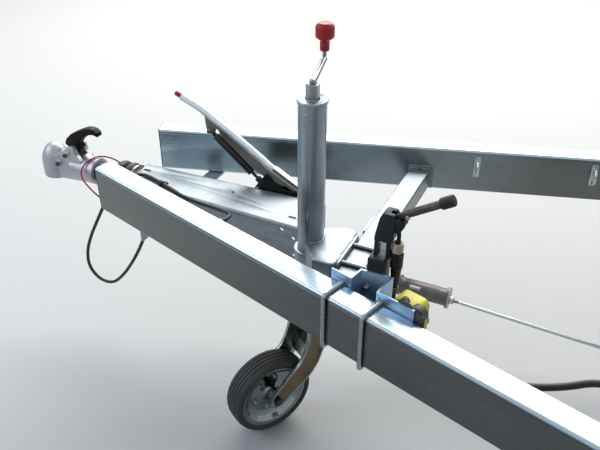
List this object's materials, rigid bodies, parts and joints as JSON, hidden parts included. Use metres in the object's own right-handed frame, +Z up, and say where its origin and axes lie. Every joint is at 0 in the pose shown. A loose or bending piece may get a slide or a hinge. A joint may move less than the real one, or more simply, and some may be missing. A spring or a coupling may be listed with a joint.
{
  "type": "braked V-drawbar unit of a tipping trailer",
  "caption": "V-shaped trailer drawbar with overrun coupling, brake lever, jockey wheel, hand pump and wheel chock.",
  "frame": {"origin": "centre of the four chassis bolts, level with the tops of the two beams", "axes": "+X to the rear of the trailer, +Z up, -Y the side of the hand pump; the coupling is at -X"},
  "size_m": [1.7715, 1.1764, 0.972],
  "materials": {
    "aluminium_profile": "satin",
    "galvanised_steel": "spangled",
    "bright_zinc": "bright",
    "yellow_zinc": "satin",
    "cast_iron": "rough",
    "cast_coupling": "satin",
    "pump_paint": "satin",
    "worn_paint": "satin",
    "brass": "satin",
    "black_paint": "satin",
    "black_plastic": "matt",
    "grey_plastic": "matt",
    "red_plastic": "gloss",
    "yellow_plastic": "satin",
    "black_rubber": "matt",
    "tyre": "matt",
    "cable_black": "satin",
    "cable_red": "satin"
  },
  "bodies": {
    "frame": {"beam_near": "aluminium_profile", "beam_far": "aluminium_profile", "plug_near": "black_plastic", "plug_far": "black_plastic", "cross_member_front": "galvanised_steel", "cross_member_rear": "galvanised_steel", "overrun_housing": "galvanised_steel", "housing_brackets": "galvanised_steel", "rear_stay": "galvanised_steel", "overrun_lever": "galvanised_steel", "spring_cylinder": "worn_paint", "brake_rod": "bright_zinc", "guide_flange": "cast_iron", "bellows": "black_rubber", "lever_foot": "black_paint", "jockey_tube": "galvanised_steel", "jockey_saddle": "galvanised_steel", "jockey_u_bolts": "bright_zinc", "hat_bracket": "galvanised_steel", "beam_u_bolts": "bright_zinc", "pump_body": "pump_paint", "pump_cylinder": "black_paint", "pump_collar": "brass", "wheel_chock": "yellow_plastic", "chock_holder": "grey_plastic", "lashing_eye_near": "bright_zinc", "lashing_eyes_far": "bright_zinc", "lead_gland": "black_plastic", "lead": "cable_black", "lead_plug": "black_plastic", "plug_holder": "black_plastic", "lead_clip": "black_plastic", "hose_union": "bright_zinc", "pump_hose": "cable_black"},
    "coupling": {"drawtube": "galvanised_steel", "coupling_head": "cast_coupling", "breakaway_cable": "cable_red"},
    "coupling_handle": {"coupling_handle": "black_plastic"},
    "brake_lever": {"brake_lever": "galvanised_steel", "release_button": "red_plastic"},
    "gas_cylinder": {"gas_cylinder": "black_paint"},
    "gas_rod": {"gas_rod": "bright_zinc"},
    "crank": {"jockey_crank": "galvanised_steel", "crank_knob": "red_plastic"},
    "jockey_inner": {"jockey_inner_tube": "galvanised_steel"},
    "fork": {"jockey_fork": "yellow_zinc", "wheel_axle": "bright_zinc"},
    "jockey_wheel": {"jockey_rim": "bright_zinc", "jockey_tyre": "tyre"},
    "pump_lever": {"pump_lever": "worn_paint", "pump_grip": "black_plastic"}
  },
  "joints": [
    {"name": "overrun_slide", "type": "slide", "parent": "frame", "child": "coupling", "axis": [1, 0, 0], "range_m": [0, 0.04], "deforming": ["bellows"]},
    {"name": "coupling_handle_hinge", "type": "hinge", "parent": "coupling", "child": "coupling_handle", "pos_m": [-1.605, 0, -0.068], "axis": [0, -1, 0], "range_deg": [0, 50]},
    {"name": "brake_lever_hinge", "type": "hinge", "parent": "frame", "child": "brake_lever", "pos_m": [-0.9202, 0.084, -0.0861], "axis": [0, 1, 0], "range_deg": [0, 50]},
    {"name": "gas_cylinder_hinge", "type": "hinge", "parent": "brake_lever", "child": "gas_cylinder", "pos_m": [-1.198, 0.084, 0.0435], "axis": [0, 1, 0], "range_deg": [0, 9.2]},
    {"name": "gas_rod_slide", "type": "slide", "parent": "gas_cylinder", "child": "gas_rod", "axis": [0.7711, 0, -0.6367], "range_m": [0, 0.098]},
    {"name": "crank_spin", "type": "hinge", "parent": "frame", "child": "crank", "pos_m": [-0.812, -0.134, 0.3], "axis": [0, 0, 1], "continuous": true},
    {"name": "jockey_height", "type": "slide", "parent": "frame", "child": "jockey_inner", "axis": [0, 0, 1], "range_m": [-0.08, 0.1]},
    {"name": "fork_swivel", "type": "hinge", "parent": "jockey_inner", "child": "fork", "pos_m": [-0.812, -0.134, -0.27], "axis": [0, 0, 1], "continuous": true},
    {"name": "wheel_spin", "type": "hinge", "parent": "fork", "child": "jockey_wheel", "pos_m": [-0.8747, -0.23632, -0.4625], "axis": [0.8526, -0.5225, 0], "continuous": true},
    {"name": "pump_lever_hinge", "type": "hinge", "parent": "frame", "child": "pump_lever", "pos_m": [-0.572, -0.262, 0.138], "axis": [0, 1, 0], "range_deg": [-35, 30]}
  ],
  "couplings": [
    {"joint": "gas_cylinder_hinge", "follows": "brake_lever_hinge", "ratio": 0.17968},
    {"joint": "gas_rod_slide", "follows": "brake_lever_hinge", "m_per_rad": 0.11123}
  ]
}
